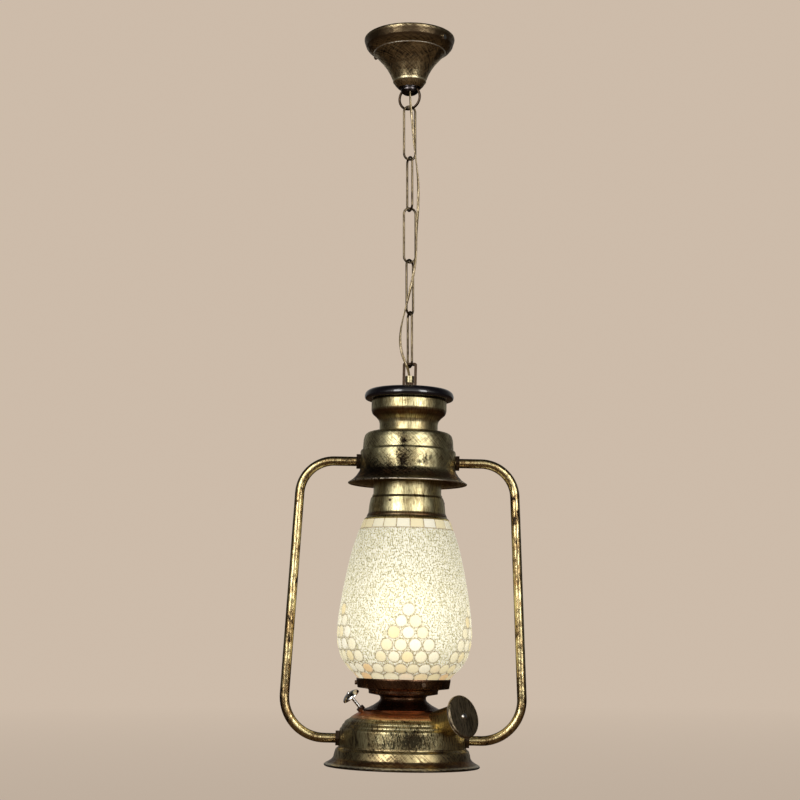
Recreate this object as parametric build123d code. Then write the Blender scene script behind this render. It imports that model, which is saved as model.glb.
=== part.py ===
from build123d import *
import math
import os

os.makedirs("parts", exist_ok=True)

# Electric hurricane lantern hung on a chain. Millimetres, +Z up, -Y is the front.
# The origin is the centre of the canopy's rim, in the plane of the ceiling.
# The lantern below the chain is drawn upright and then hung, see hang().

# ---- Driving dimensions ----
sheet = 0.9
slip = 0.05            # radial clearance of one fixed piece in another
play = 0.3             # clearance between wires that swing on each other

strap_length = 79.0
strap_width = 16.0
strap_thick = 1.5
strap_turn = -40.0     # about Z, so that one side screw shows at the front right
strap_hole_spacing = 50.0
strap_hole_radius = 2.3
ear_drop = 12.8
side_screw_z = -10.2
side_screw_radius = 1.6

lip_radius = 2.4
canopy_radius = 47.0
canopy_mouth = 11.9

boss_top = -48.5
boss_bottom = -61.3
slot_width = 4.2
slot_top = -50.6
pin_z = -56.1
pin_radius = 1.5
pin_length = 15.0

ring_radius = 12.0
ring_wire = 1.3
ring_turn = -30.0

link_wire = 1.15
link_bend = 6.0
link_length = 56.9     # between the middles of the wire at both ends
link_turns = [15.0, -65.0, 8.0, 56.0, -70.0]

flex_radius = 1.4      # round twin flex
flex_hole = 1.6
cut_half_gap = 2.5     # the flex is cut this far above and below each chain joint
lead_start = -367.8    # where the flex goes on as the inner lead, inside the nipple
hang_tilt = 1.2        # the heavy filler side hangs lower, about Y, in degrees

stirrup_width = 14.5
stirrup_depth = 4.6
stirrup_side = 2.8
bar_thick = 3.0
cap_top = -372.0
cap_bottom = -382.3
nipple_radius = 3.2
nipple_bore = 2.4
bushing_top = -357.7

hood_radius = 47.9
plate_z = -454.0
neck_radius = 34.0
collar_screw_z = -486.0
collar_screw_turns = [-117.0, 3.0, 123.0]

tube_radius = 4.75
tube_bore = 3.75
tube_top_z = -445.4
tube_bottom_z = -718.4
tube_top_x = 106.3
tube_bottom_x = 118.8
tube_top_bend = 34.0
tube_bottom_bend = 40.0
nut_flats = 14.0
nut_thick = 3.6
nut_notch = 8.7         # radius of the skirt's notch round the nut above it

globe_wall = 3.0
gallery_screw_z = -664.4
gallery_screw_turns = [-66.0, 54.0, 174.0]

holder_radius = 17.5
holder_top = -641.0
holder_bottom = -688.0
holder_floor = -676.0
bulb_cap_radius = 13.3

tank_radius = 61.8
skirt_sleeve = 62.75
base_plate_z = -741.6

filler_turn = -43.0
filler_rise = 17.0
filler_axis_z = -716.9   # where the filler's axis meets the tank's axis
filler_neck_radius = 14.0
filler_neck_wall = 1.2
filler_neck_start = 48.0
filler_neck_end = 78.6
filler_seal_thick = 1.2
filler_cap_radius = 20.7
filler_cap_thick = 3.8
filler_plug_length = 7.0

wick_turn = 198.0
wick_rise = 48.8
wick_reach = 41.0        # radius and height at which the shaft leaves the dome
wick_exit_z = -691.6
wick_shaft_radius = 1.5
wick_knob_radius = 9.3
wick_knob_out = 18.5

# ---- The flex's route from the terminal block to the lantern's nipple ----
flex_route = [
    (4.0, -2.0, -13.5),
    (0.3, -6.3, -35.0),
    (0.3, -6.3, -70.0),
    (2.6, -6.6, -90.0),
    (4.0, -6.4, -110.0),
    (6.2, -5.6, -132.0),
    (9.0, -4.6, -156.0),
    (8.7, -4.3, -180.0),
    (7.3, -5.2, -204.0),
    (6.9, -6.5, -228.0),
    (4.6, -8.9, -250.0),
    (0.4, -9.7, -270.0),
    (-4.4, -9.4, -290.0),
    (-8.8, -7.7, -307.0),
    (-10.2, -6.2, -322.0),
    (-8.2, -6.8, -336.0),
    (-3.6, -5.6, -346.5),
    (-0.4, -1.4, -356.0),
    (0.0, 0.0, -368.0),
]


# ---- Helpers ----
def save(name, shape):
    export_step(shape, f"parts/{name}.step")


def chain_joints():
    """Heights of the wire middles that the ring, the links and the lantern swing on."""
    heights = [pin_z]
    ring_top = pin_z + pin_radius + play + ring_wire
    heights.append(ring_top - 2 * ring_radius)
    top = heights[-1] + ring_wire + play + link_wire
    for _ in link_turns:
        heights.append(top - link_length)
        top = heights[-1] + 2 * link_wire + play
    return heights


joint_heights = chain_joints()
hook_z = joint_heights[-1]


def hang(shape):
    """The upright lantern piece as it hangs, turned about the chain's last wire."""
    hook = Location((0, 0, hook_z))
    return hook * Rotation(0, hang_tilt, 0) * hook.inverse() * shape


def along(point, turn, rise):
    """A place at point whose Z axis points out at the given turn about Z and rise above level."""
    return Location(point) * Rotation(0, 0, turn) * Rotation(0, 90 - rise, 0)


def rod(place, start, end, radius):
    """A cylinder along the Z axis of place."""
    return place * Pos(0, 0, (start + end) / 2) * Cylinder(radius, abs(end - start))


def pipe(place, start, end, radius, bore):
    return rod(place, start, end, radius) - rod(place, start, end, bore)


def hex_nut(place, start, end, flats, bore):
    """A nut along the Z axis of place, with two flats facing the place's X axis."""
    body = extrude(RegularPolygon(flats / 2, 6, major_radius=False, rotation=30), end - start)
    return place * Pos(0, 0, start) * body - rod(place, start, end, bore)


def moved_in(points, wall):
    """An open outline of (radius, height) points, moved inwards by the wall."""
    moved = []
    last = len(points) - 1
    for i, (radius, height) in enumerate(points):
        here = Vector(radius, height)
        before = (here - Vector(*points[i - 1])).normalized() if i > 0 else None
        after = (Vector(*points[i + 1]) - here).normalized() if i < last else None
        before, after = before or after, after or before
        side_one = Vector(before.Y, -before.X)
        side_two = Vector(after.Y, -after.X)
        middle = (side_one + side_two).normalized()
        corner = here + middle * (wall / middle.dot(side_one))
        moved.append((corner.X, corner.Y))
    return moved


def outline(points, smooth):
    places = [(radius, 0, height) for radius, height in points]
    return Spline(*places) if smooth else Polyline(*places)


def turned(points, wall, smooth=False):
    """A turned shell whose outer face follows the points from top to bottom."""
    inner = moved_in(points, wall)
    edges = [
        outline(points, smooth),
        Line((points[-1][0], 0, points[-1][1]), (inner[-1][0], 0, inner[-1][1])),
        outline(inner, smooth),
        Line((points[0][0], 0, points[0][1]), (inner[0][0], 0, inner[0][1])),
    ]
    return revolve(make_face(edges), Axis.Z, 360)


def solid_turned(points):
    """A full turned solid with this (radius, height) outline, closed along the axis."""
    places = [(0, 0, points[0][1])] + [(r, 0, z) for r, z in points] + [(0, 0, points[-1][1])]
    return revolve(make_face(Polyline(*places, close=True)), Axis.Z, 360)


def bead(radius, height, wire):
    return Pos(0, 0, height) * Torus(radius, wire)


def tube_along(points, radii, radius):
    """A round tube along straight runs joined by arcs of the given radii."""
    path = FilletPolyline(*points, radius=radii)
    section = Plane(origin=path @ 0, z_dir=path % 0) * Circle(radius)
    return sweep(section, path=path), path.length


def bend_radii(points, label):
    """The largest arc at each corner of a route, printed for the record."""
    radii = []
    for before, here, after in zip(points, points[1:], points[2:]):
        run_in = Vector(*here) - Vector(*before)
        run_out = Vector(*after) - Vector(*here)
        turn = math.radians(run_in.get_angle(run_out))
        radii.append(0.45 * min(run_in.length, run_out.length) / math.tan(turn / 2))
    print(label, "bend radii:", [round(r, 1) for r in radii])
    return radii


def report_tube(label, tube, length, radius):
    section = math.pi * radius**2
    print(f"{label}: length {length:.1f}, volume {tube.volume:.1f}, section x length {section * length:.1f}")


# ---- Ceiling pieces ----
def side_places():
    """Places of the two side screws, each with its Z axis pointing outwards."""
    return [along((0, 0, side_screw_z), strap_turn + half, 0) for half in (0, 180)]


def ceiling_strap():
    half = strap_length / 2
    plate = Pos(0, 0, -strap_thick / 2) * Box(strap_length, strap_width, strap_thick)
    strap = plate
    for side in (-1, 1):
        ear = Box(strap_thick, strap_width, ear_drop)
        strap += Pos(side * (half - strap_thick / 2), 0, -ear_drop / 2) * ear
        strap -= Pos(side * strap_hole_spacing / 2, 0, 0) * Cylinder(strap_hole_radius, 10)
    strap = Rotation(0, 0, strap_turn) * strap
    for place in side_places():
        strap -= rod(place, half - 5, half + 5, side_screw_radius + slip)
    return strap


def canopy():
    rim = canopy_radius - lip_radius
    bell = turned(
        [
            (canopy_radius - 0.3, -3.4), (46.2, -6.2), (44.9, -10.0), (42.2, -13.4),
            (38.4, -15.8), (36.6, -16.8), (35.6, -18.6), (32.0, -22.4), (28.2, -26.6),
            (23.7, -32.8), (19.9, -39.8), (17.4, -46.0), (16.3, -49.2), (14.6, -51.8),
            (canopy_mouth, -54.6),
        ],
        1.0,
    )
    bell += bead(rim, -lip_radius, lip_radius)
    bell += bead(16.2, -47.9, 1.0)
    for place in side_places():
        bell -= rod(place, 40, 50, side_screw_radius + 0.1)
    return bell


def canopy_screws():
    screws = []
    for place in side_places():
        shaft = rod(place, strap_length / 2 - 4, 45.8, side_screw_radius)
        head = rod(place, 45.8, 47.2, 2.5)
        screws.append((shaft + head).solid())
    return Compound(children=screws)


def hanger_boss():
    body = solid_turned(
        [
            (12.3, boss_top), (12.3, -52.3), (11.05, -52.6), (11.05, -55.2), (9.2, -55.8),
            (9.2, -57.6), (8.4, -59.6), (6.6, -60.9), (5.4, boss_bottom),
        ]
    )
    slot_height = slot_top - boss_bottom + 2
    slot = Box(40, slot_width, slot_height)
    turn = Rotation(0, 0, ring_turn)
    body -= turn * Pos(0, 0, slot_top - slot_height / 2) * slot
    body -= turn * Pos(0, 0, pin_z) * Rotation(90, 0, 0) * Cylinder(pin_radius + slip, 40)
    body -= Pos(flex_route[1][0], flex_route[1][1], -55) * Cylinder(flex_hole, 20)
    return body


def hanger_pin():
    pin = Rotation(90, 0, 0) * Cylinder(pin_radius, pin_length)
    return Pos(0, 0, pin_z) * Rotation(0, 0, ring_turn) * pin


def terminal_block():
    block = Pos(0, 0, -strap_thick - 6) * Box(22, 16, 12)
    for x in (-4, 4):
        block -= Pos(x, 0, -strap_thick - 3) * Rotation(90, 0, 0) * Cylinder(1.65, 20)
    return block


def terminal_screws():
    screws = []
    for x in (-4, 4):
        place = Pos(x, 0, -strap_thick - 3) * Rotation(90, 0, 0)
        screws.append(rod(place, -8.6, 8.6, 1.6).solid())
    return Compound(children=screws)


# ---- Chain ----
def ring():
    hoop = Rotation(90, 0, 0) * Torus(ring_radius, ring_wire)
    return Pos(0, 0, joint_heights[1] + ring_radius) * Rotation(0, 0, ring_turn) * hoop


def link(number):
    """Chain link 1 to 5: two straight wires and two half rings."""
    half = link_length / 2 - link_bend
    section = Pos(link_bend, 0, 0) * Circle(link_wire)
    bend = Rotation(90, 0, 0) * revolve(Rotation(-90, 0, 0) * section, Axis.Z, 180)
    body = Pos(0, 0, half) * bend + Pos(0, 0, -half) * Rotation(0, 180, 0) * bend
    for side in (-1, 1):
        body += Pos(side * link_bend, 0, 0) * Cylinder(link_wire, 2 * half)
    middle = joint_heights[number + 1] + link_length / 2
    return Pos(0, 0, middle) * Rotation(0, 0, link_turns[number - 1]) * body


# ---- Flex ----
def flex_pieces():
    """The flex cut at the chain's joints, so that each piece rides one link."""
    tube, length = tube_along(flex_route, bend_radii(flex_route, "flex"), flex_radius)
    report_tube("flex", tube, length, flex_radius)
    cuts = joint_heights[1:]
    names = ["cord_feed"] + [f"cord_link_{n}" for n in range(1, 6)] + ["cord_end"]
    spans = []
    low = flex_route[0][2]
    for cut in cuts:
        gap = 11.0 if cut == cuts[0] else cut_half_gap
        spans.append((low, cut + gap))
        low = cut - cut_half_gap
    spans.append((low, lead_start))
    pieces = {}
    for name, (top, bottom) in zip(names, spans):
        slab = Pos(0, 0, (top + bottom) / 2) * Box(60, 60, top - bottom)
        pieces[name] = tube & slab
    return pieces


def lead_tube():
    """The flex's inner length: nipple, left side tube, tank and lampholder."""
    points = [
        (0, 0, lead_start), (0, 0, -405), (-24, 0, tube_top_z), (-tube_top_x, 0, tube_top_z),
        (-tube_bottom_x, 0, tube_bottom_z), (0, 0, tube_bottom_z), (0, 0, holder_floor),
    ]
    radii = [40.0, 34.0, tube_top_bend, tube_bottom_bend, 15.0]
    tube, length = tube_along(points, radii, flex_radius)
    report_tube("inner lead", tube, length, flex_radius)
    return tube


# ---- Lantern top ----
def stirrup():
    top = hook_z + link_wire + play + bar_thick
    height = top - cap_top
    middle = (top + cap_top) / 2
    outer = fillet(Rectangle(stirrup_width, height).vertices(), 2.5)
    inside_top = top - bar_thick
    inside_bottom = cap_top + 2.4
    inner = Rectangle(stirrup_width - 2 * stirrup_side, inside_top - inside_bottom)
    frame = outer - Pos(0, (inside_top + inside_bottom) / 2 - middle) * inner
    strap = extrude(Plane.XZ * frame, stirrup_depth / 2, both=True)
    under_bar = strap.edges().filter_by(Axis.X).filter_by_position(
        Axis.Z, inside_top - middle - 0.1, inside_top - middle + 0.1
    )
    strap = fillet(under_bar, 1.1)
    return Pos(0, 0, middle) * strap - rod(Pos(0, 0, 0), cap_top - 1, cap_top + 5, nipple_radius + slip)


def nipple():
    return pipe(Pos(0, 0, 0), -394.0, -361.0, nipple_radius, nipple_bore)


def stirrup_nut():
    return hex_nut(Pos(0, 0, 0), cap_top + 2.4, -364.4, 8.4, nipple_radius + slip)


def cord_bushing():
    return pipe(Pos(0, 0, 0), -364.4, bushing_top, 4.35, nipple_radius + slip)


def top_cap():
    return turned(
        [
            (nipple_radius + slip, cap_top), (36.0, cap_top), (40.8, cap_top - 1.0),
            (43.9, cap_top - 3.6), (45.2, cap_top - 7.2), (44.5, cap_bottom + 0.7),
            (43.4, cap_bottom), (35.0, cap_bottom),
        ],
        1.2,
    )


def chimney():
    return turned(
        [
            (nipple_radius + slip, cap_bottom), (36.4, cap_bottom), (37.9, -384.4),
            (37.9, -393.4), (36.8, -396.8), (32.6, -400.4), (30.2, -403.4), (29.3, -407.0),
            (29.3, -419.0),
        ],
        sheet,
    )


def chimney_nut():
    return hex_nut(Pos(0, 0, 0), -387.2, cap_bottom - sheet, 10.0, nipple_radius + slip)


def tube_place(side, height):
    """A place on the lantern's axis whose Z axis points out along one side tube's end."""
    return Pos(0, 0, height) * Rotation(0, 90 * side, 0)


def hood():
    shell = turned(
        [
            (29.35, -414.8), (36.8, -415.2), (41.4, -416.6), (43.7, -418.8), (44.8, -423.0),
            (45.7, -433.6), (47.2, -434.4), (hood_radius, -436.2), (hood_radius, -453.4),
            (48.8, -455.6), (51.2, -459.4), (54.6, -463.4), (59.0, -466.6),
        ],
        sheet,
    )
    shell += bead(58.8, -466.8, 1.0)
    for side in (-1, 1):
        shell -= rod(tube_place(side, tube_top_z), 30, 60, tube_radius + slip)
    return shell


def hood_plate():
    return pipe(Pos(0, 0, 0), plate_z, plate_z + 1, 46.9, 28.0)


def lower_neck():
    return pipe(Pos(0, 0, 0), -491.0, plate_z, neck_radius, neck_radius - sheet)


def collar_screw_places():
    return [along((0, 0, collar_screw_z), turn, 0) for turn in collar_screw_turns]


def globe_collar():
    shell = turned(
        [
            (34.95, -478.8), (34.95, -480.2), (36.5, -482.4), (37.7, -488.4), (38.7, -497.2),
            (39.4, -499.2), (42.4, -503.2),
        ],
        sheet,
    )
    shell += bead(39.4, -499.6, 0.8)
    for place in collar_screw_places():
        shell -= rod(place, 30, 45, 1.3)
    return shell


def collar_screws():
    screws = [rod(place, neck_radius + 0.02, 37.6, 1.25).solid() for place in collar_screw_places()]
    return Compound(children=screws)


# ---- Side tubes ----
def side_tube(side):
    points = [
        (side * 44.4, 0, tube_top_z), (side * tube_top_x, 0, tube_top_z),
        (side * tube_bottom_x, 0, tube_bottom_z), (side * 58.0, 0, tube_bottom_z),
    ]
    radii = [tube_top_bend, tube_bottom_bend]
    outer, _ = tube_along(points, radii, tube_radius)
    bore, _ = tube_along(points, radii, tube_bore)
    return outer - bore


def tube_nuts(height, inner, outer):
    """Two nuts on each side tube's end, inside and outside the shell that it enters."""
    nuts = []
    for side in (-1, 1):
        place = tube_place(side, height)
        for start in (inner - nut_thick, outer):
            nut = hex_nut(place, start, start + nut_thick, nut_flats, tube_radius + slip)
            nuts.append(nut.solid())
    return Compound(children=nuts)


# ---- Light ----
globe_outline = [
    (43.3, -504.4), (48.2, -518.0), (52.5, -531.4), (58.1, -556.0), (63.4, -586.5),
    (66.1, -612.0), (65.2, -627.8), (61.4, -639.8), (53.6, -650.8), (46.8, -656.8),
    (43.5, -661.6), (43.0, -667.6),
]


def globe():
    return turned(globe_outline, globe_wall, smooth=True)


def gallery_screw_places():
    return [along((0, 0, gallery_screw_z), turn, 0) for turn in gallery_screw_turns]


def gallery():
    cup = turned(
        [
            (46.4, -659.6), (46.3, -661.0), (45.2, -668.9), (34.9, -670.2), (34.3, -671.0),
            (34.1, -674.4), (24.0, -676.2), (22.5, -677.4), (22.5, -679.4),
        ],
        1.0,
    )
    for place in gallery_screw_places():
        cup -= rod(place, 40, 50, 1.35)
    return cup


def gallery_screws():
    screws = []
    for place in gallery_screw_places():
        screw = rod(place, 43.6, 46.2, 1.3) + rod(place, 46.2, 48.2, 2.1)
        screws.append(screw.solid())
    return Compound(children=screws)


def lampholder():
    body = solid_turned(
        [
            (holder_radius, holder_top), (holder_radius, -672.0), (15.0, -678.0),
            (12.0, holder_bottom),
        ]
    )
    body -= rod(Pos(0, 0, 0), holder_floor, holder_top + 1, 14.3)
    return body - rod(Pos(0, 0, 0), holder_bottom - 1, holder_floor + 1, 5 + slip)


def holder_contact():
    return rod(Pos(0, 0, 0), holder_floor, -673.2, 6.0)


def holder_plate():
    return pipe(Pos(0, 0, 0), -692.8, -691.8, 30.0, 5 + slip)


def holder_nipple():
    return pipe(Pos(0, 0, 0), -699.0, -680.0, 5.0, 3.6)


def holder_nuts():
    place = Pos(0, 0, 0)
    nuts = [
        hex_nut(place, -696.8, -692.8, nut_flats, 5 + slip).solid(),
        hex_nut(place, -691.8, holder_bottom, nut_flats, 5 + slip).solid(),
    ]
    return Compound(children=nuts)


def bulb_cap():
    return solid_turned(
        [
            (12.9, -645.4), (bulb_cap_radius, -647.0), (bulb_cap_radius, -665.0),
            (11.0, -668.6), (4.0, -670.6), (4.0, -672.7),
        ]
    )


def bulb_glass():
    glass = [
        (0.5, -556.0), (10.0, -557.6), (19.6, -562.6), (26.8, -571.4), (29.8, -583.0),
        (28.8, -595.0), (24.0, -608.6), (18.2, -622.0), (14.8, -634.0), (13.6, -645.4),
    ]
    return turned(glass, 0.8, smooth=True)


# ---- Base ----
filler_place = along((0, 0, filler_axis_z), filler_turn, filler_rise)
wick_point = (
    wick_reach * math.cos(math.radians(wick_turn)),
    wick_reach * math.sin(math.radians(wick_turn)),
    wick_exit_z,
)
wick_place = along(wick_point, wick_turn, wick_rise)


def burner_cone():
    return turned(
        [(22.5, -679.5), (23.6, -681.6), (28.6, -685.2), (33.8, -687.9), (38.6, -689.6)],
        sheet,
    )


def tank():
    shell = turned(
        [
            (25.0, -690.7), (36.0, -690.8), (39.4, -691.2), (44.9, -693.6), (50.0, -696.8),
            (53.0, -699.4), (54.8, -700.2), (56.8, -701.6), (57.4, -703.6), (59.1, -704.8),
            (59.8, -707.2), (61.3, -708.4), (tank_radius, -710.0), (tank_radius, -727.4),
        ],
        sheet,
    )
    for side in (-1, 1):
        shell -= rod(tube_place(side, tube_bottom_z), 50, 70, tube_radius + slip)
    shell -= rod(filler_place, filler_neck_start - 8, 75, filler_neck_radius + slip)
    return shell - rod(wick_place, -6, 6, 2.6)


def base_skirt():
    shell = turned(
        [
            (skirt_sleeve, -724.6), (skirt_sleeve, -726.4), (65.4, -728.4), (66.4, -732.0),
            (67.3, -736.0), (69.2, -738.4), (72.4, -740.6), (75.6, -742.2),
        ],
        sheet,
    )
    for side in (-1, 1):
        shell -= rod(tube_place(side, tube_bottom_z), 55, 66, nut_notch)
    return shell + bead(75.1, -743.3, 1.5)


def base_plate():
    return pipe(Pos(0, 0, 0), base_plate_z, base_plate_z + 1, 70.6, 3.0)


def filler_neck():
    place = filler_place
    bore = filler_neck_radius - filler_neck_wall
    return pipe(place, filler_neck_start, filler_neck_end, filler_neck_radius, bore)


def filler_seal():
    start = filler_neck_end
    return pipe(filler_place, start, start + filler_seal_thick, 17.0, 12.7)


def filler_cap():
    under = filler_neck_end + filler_seal_thick
    plug = rod(filler_place, under - filler_plug_length, under, 12.55)
    return plug + rod(filler_place, under, under + filler_cap_thick, filler_cap_radius)


def filler_rivet():
    face = filler_neck_end + filler_seal_thick + filler_cap_thick
    dome = solid_turned([(0.6, 1.5), (2.2, 1.2), (3.1, 0.5), (3.3, 0)])
    return filler_place * Pos(0, 0, face) * dome


def wick_gland():
    stub = rod(wick_place, -4, 1.6, 2.55) + hex_nut(wick_place, 1.6, 5.2, 7.0, 1.0)
    return stub - rod(wick_place, -10, 10, wick_shaft_radius + 0.08)


def wick_shaft():
    return rod(wick_place, -9, wick_knob_out + 3.4, wick_shaft_radius)


def wick_clip():
    return pipe(wick_place, -8.0, -6.8, 3.2, wick_shaft_radius + slip)


def wick_knob():
    profile = [
        (0.4, 4.6), (3.4, 4.4), (6.4, 3.4), (8.6, 1.8), (wick_knob_radius, 0.4),
        (wick_knob_radius, -0.5), (8.4, -0.4), (5.8, 0.9), (3.2, 1.6), (2.9, 0.2),
    ]
    knob = wick_place * Pos(0, 0, wick_knob_out) * solid_turned(profile)
    return knob - rod(wick_place, 0, wick_knob_out + 3.4, wick_shaft_radius + slip)


def wick_rivet():
    dome = solid_turned([(0.4, 1.2), (1.4, 0.9), (2.0, 0)])
    return wick_place * Pos(0, 0, wick_knob_out + 4.6) * dome


# ---- Every node ----
fixed_nodes = {
    "ceiling_strap": ceiling_strap(),
    "canopy": canopy(),
    "canopy_screws": canopy_screws(),
    "hanger_boss": hanger_boss(),
    "hanger_pin": hanger_pin(),
    "terminal_block": terminal_block(),
    "terminal_screws": terminal_screws(),
    "ring": ring(),
}
for number in range(1, 6):
    fixed_nodes[f"link_{number}"] = link(number)

hung_nodes = {
    "inner_lead": lead_tube(),
    "stirrup": stirrup(),
    "nipple": nipple(),
    "stirrup_nut": stirrup_nut(),
    "cord_bushing": cord_bushing(),
    "top_cap": top_cap(),
    "chimney": chimney(),
    "chimney_nut": chimney_nut(),
    "hood": hood(),
    "hood_plate": hood_plate(),
    "hood_nuts": tube_nuts(tube_top_z, 46.1, hood_radius + 0.1),
    "lower_neck": lower_neck(),
    "globe_collar": globe_collar(),
    "collar_screws": collar_screws(),
    "left_tube": side_tube(-1),
    "right_tube": side_tube(1),
    "globe": globe(),
    "gallery": gallery(),
    "gallery_screws": gallery_screws(),
    "lampholder": lampholder(),
    "holder_contact": holder_contact(),
    "holder_plate": holder_plate(),
    "holder_nipple": holder_nipple(),
    "holder_nuts": holder_nuts(),
    "bulb_cap": bulb_cap(),
    "bulb_glass": bulb_glass(),
    "burner_cone": burner_cone(),
    "tank": tank(),
    "base_skirt": base_skirt(),
    "base_plate": base_plate(),
    "base_nuts": tube_nuts(tube_bottom_z, 60.2, tank_radius + 0.1),
    "filler_neck": filler_neck(),
    "filler_seal": filler_seal(),
    "filler_cap": filler_cap(),
    "filler_rivet": filler_rivet(),
    "wick_gland": wick_gland(),
    "wick_shaft": wick_shaft(),
    "wick_clip": wick_clip(),
    "wick_knob": wick_knob(),
    "wick_rivet": wick_rivet(),
}

for name, piece in flex_pieces().items():
    if name == "cord_end":
        hung_nodes[name] = piece
    else:
        fixed_nodes[name] = piece

for name, shape in fixed_nodes.items():
    save(name, shape)
for name, shape in hung_nodes.items():
    save(name, hang(shape))
print("chain joints at", [round(z, 2) for z in joint_heights])
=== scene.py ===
import math

import bpy
import numpy as np
from mathutils import Matrix, Vector


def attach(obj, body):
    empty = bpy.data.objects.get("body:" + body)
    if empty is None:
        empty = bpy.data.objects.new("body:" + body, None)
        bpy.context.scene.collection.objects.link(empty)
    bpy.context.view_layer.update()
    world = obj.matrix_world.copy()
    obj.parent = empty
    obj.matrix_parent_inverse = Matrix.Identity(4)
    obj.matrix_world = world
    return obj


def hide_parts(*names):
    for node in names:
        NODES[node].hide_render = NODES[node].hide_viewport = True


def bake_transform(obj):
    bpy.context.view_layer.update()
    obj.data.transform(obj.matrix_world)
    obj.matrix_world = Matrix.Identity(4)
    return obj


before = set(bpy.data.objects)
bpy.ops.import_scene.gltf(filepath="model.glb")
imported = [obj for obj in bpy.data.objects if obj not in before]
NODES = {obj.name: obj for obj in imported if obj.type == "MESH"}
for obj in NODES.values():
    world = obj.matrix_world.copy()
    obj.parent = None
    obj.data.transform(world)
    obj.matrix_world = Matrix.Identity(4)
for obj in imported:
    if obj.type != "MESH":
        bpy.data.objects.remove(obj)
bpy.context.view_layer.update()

# Lengths are in millimetres, as in the part's drawing, unless a comment says metres.
MM = 0.001
HOOK_Z = -348.35
HANG_TILT = math.radians(1.2)
HANG = (
    Matrix.Translation((0, 0, HOOK_Z))
    @ Matrix.Rotation(HANG_TILT, 4, "Y")
    @ Matrix.Translation((0, 0, -HOOK_Z))
)
UPRIGHT = Matrix.Identity(4)


# ---- Camera ----
camera_data = bpy.data.cameras.new("camera")
camera_data.sensor_width = 36.0
camera_data.lens = 74.25
camera_data.clip_end = 200.0
camera = bpy.data.objects.new("camera", camera_data)
bpy.context.scene.collection.objects.link(camera)
camera.location = Vector((-10.0, -1650.0, -622.6)) * MM
camera.rotation_euler = (math.radians(98.3), 0.0, 0.0)
bpy.context.scene.camera = camera


# ---- Node helpers ----
class Nodes:
    """A node tree, with short calls for the nodes used here."""

    def __init__(self, tree):
        self.tree = tree
        self.tree.nodes.clear()

    def node(self, kind, **settings):
        made = self.tree.nodes.new(kind)
        for key, value in settings.items():
            setattr(made, key, value)
        return made

    def link(self, output, socket):
        self.tree.links.new(output, socket)

    def put(self, socket, value):
        """Sets a socket to a number or colour, or joins it to another node's output."""
        if isinstance(value, bpy.types.NodeSocket):
            self.link(value, socket)
        elif isinstance(value, (tuple, list)) and len(value) == 3 and socket.type == "RGBA":
            socket.default_value = (*value, 1)
        else:
            socket.default_value = value

    def math(self, kind, a, b=0.0):
        made = self.node("ShaderNodeMath", operation=kind)
        self.put(made.inputs[0], a)
        self.put(made.inputs[1], b)
        return made.outputs[0]

    def weigh(self, a, a_share, b, b_share):
        """The sum of two values, each times its share."""
        return self.math("ADD", self.math("MULTIPLY", a, a_share), self.math("MULTIPLY", b, b_share))

    def range(self, value, low, high, to_low=0.0, to_high=1.0):
        made = self.node("ShaderNodeMapRange", clamp=True)
        self.put(made.inputs["Value"], value)
        made.inputs["From Min"].default_value = low
        made.inputs["From Max"].default_value = high
        made.inputs["To Min"].default_value = to_low
        made.inputs["To Max"].default_value = to_high
        return made.outputs[0]

    def ramp(self, value, stops):
        """A colour for the value, from stops of (value, colour)."""
        made = self.node("ShaderNodeValToRGB")
        points = made.color_ramp.elements
        while len(points) < len(stops):
            points.new(0.5)
        for point, (at, colour) in zip(points, stops):
            point.position = at
            point.color = (*colour, 1)
        self.link(value, made.inputs[0])
        return made.outputs[0]

    def mix(self, share, a, b):
        # A mix node's first input is its share, and 6 and 7 are its two colours.
        made = self.node("ShaderNodeMix", data_type="RGBA")
        self.put(made.inputs[0], share)
        self.put(made.inputs[6], a)
        self.put(made.inputs[7], b)
        return made.outputs[2]

    def mix_shaders(self, share, a, b):
        made = self.node("ShaderNodeMixShader")
        for socket, value in zip(made.inputs, (share, a, b)):
            self.link(value, socket)
        return made.outputs[0]

    def split(self, vector):
        made = self.node("ShaderNodeSeparateXYZ")
        self.link(vector, made.inputs[0])
        return made.outputs

    def combine(self, *parts):
        made = self.node("ShaderNodeCombineXYZ")
        for socket, value in zip(made.inputs, parts):
            self.link(value, socket)
        return made.outputs[0]

    def length(self, vector):
        made = self.node("ShaderNodeVectorMath", operation="LENGTH")
        self.link(vector, made.inputs[0])
        return made.outputs["Value"]

    def camera_ray(self):
        return self.node("ShaderNodeLightPath").outputs["Is Camera Ray"]


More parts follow.
